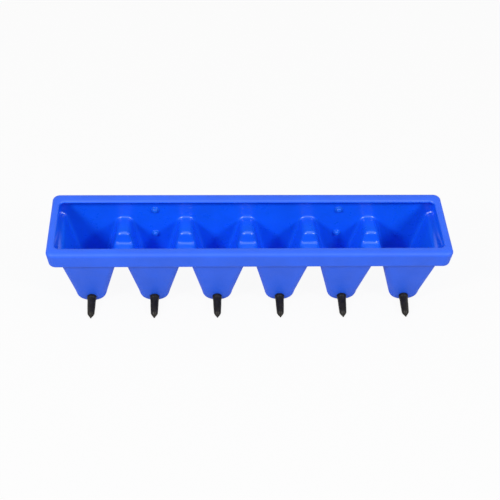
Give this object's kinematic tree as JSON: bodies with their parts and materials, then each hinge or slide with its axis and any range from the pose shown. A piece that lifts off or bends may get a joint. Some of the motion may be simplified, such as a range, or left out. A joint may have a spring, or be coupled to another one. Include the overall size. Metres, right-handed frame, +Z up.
{
  "type": "multi-teat milk feeder",
  "caption": "Long plastic milk trough with a row of tapered cups, each with a rubber teat and ball valve, and hooks on its back that hang it on a rail.",
  "frame": {"origin": "on the ground under the middle of the feeder's bounding box, teats and hooks included", "axes": "+X along the trough, +Y from the teats towards the hooks at the back, +Z up"},
  "size_m": [0.9394, 0.277, 0.1905],
  "materials": {
    "blue_plastic": "satin",
    "black_rubber": "smooth moulded",
    "white_plastic": "satin",
    "ball_plastic": "polished",
    "zinc_steel": "zinc plated"
  },
  "bodies": {
    "feeder": {"trough_body": "blue_plastic", "teat_1": "black_rubber", "valve_body_1": "white_plastic", "teat_2": "black_rubber", "valve_body_2": "white_plastic", "teat_3": "black_rubber", "valve_body_3": "white_plastic", "teat_4": "black_rubber", "valve_body_4": "white_plastic", "teat_5": "black_rubber", "valve_body_5": "white_plastic", "teat_6": "black_rubber", "valve_body_6": "white_plastic", "hanging_bracket_left": "zinc_steel", "hanging_bracket_right": "zinc_steel", "bracket_bolt_1": "zinc_steel", "plain_washer_1": "zinc_steel", "hexagon_nut_1": "zinc_steel", "seal_washer_1": "blue_plastic", "bracket_bolt_2": "zinc_steel", "plain_washer_2": "zinc_steel", "hexagon_nut_2": "zinc_steel", "seal_washer_2": "blue_plastic", "bracket_bolt_3": "zinc_steel", "plain_washer_3": "zinc_steel", "hexagon_nut_3": "zinc_steel", "seal_washer_3": "blue_plastic", "bracket_bolt_4": "zinc_steel", "plain_washer_4": "zinc_steel", "hexagon_nut_4": "zinc_steel", "seal_washer_4": "blue_plastic"},
    "ball_1": {"valve_ball_1": "ball_plastic"},
    "ball_2": {"valve_ball_2": "ball_plastic"},
    "ball_3": {"valve_ball_3": "ball_plastic"},
    "ball_4": {"valve_ball_4": "ball_plastic"},
    "ball_5": {"valve_ball_5": "ball_plastic"},
    "ball_6": {"valve_ball_6": "ball_plastic"}
  },
  "joints": [
    {"name": "ball_1_slide", "type": "slide", "parent": "feeder", "child": "ball_1", "axis": [0, -0.9678, -0.2516], "range_m": [-0.003, 0]},
    {"name": "ball_2_slide", "type": "slide", "parent": "feeder", "child": "ball_2", "axis": [0, -0.9678, -0.2516], "range_m": [-0.003, 0]},
    {"name": "ball_3_slide", "type": "slide", "parent": "feeder", "child": "ball_3", "axis": [0, -0.9678, -0.2516], "range_m": [-0.003, 0]},
    {"name": "ball_4_slide", "type": "slide", "parent": "feeder", "child": "ball_4", "axis": [0, -0.9678, -0.2516], "range_m": [-0.003, 0]},
    {"name": "ball_5_slide", "type": "slide", "parent": "feeder", "child": "ball_5", "axis": [0, -0.9678, -0.2516], "range_m": [-0.003, 0]},
    {"name": "ball_6_slide", "type": "slide", "parent": "feeder", "child": "ball_6", "axis": [0, -0.9678, -0.2516], "range_m": [-0.003, 0]}
  ]
}
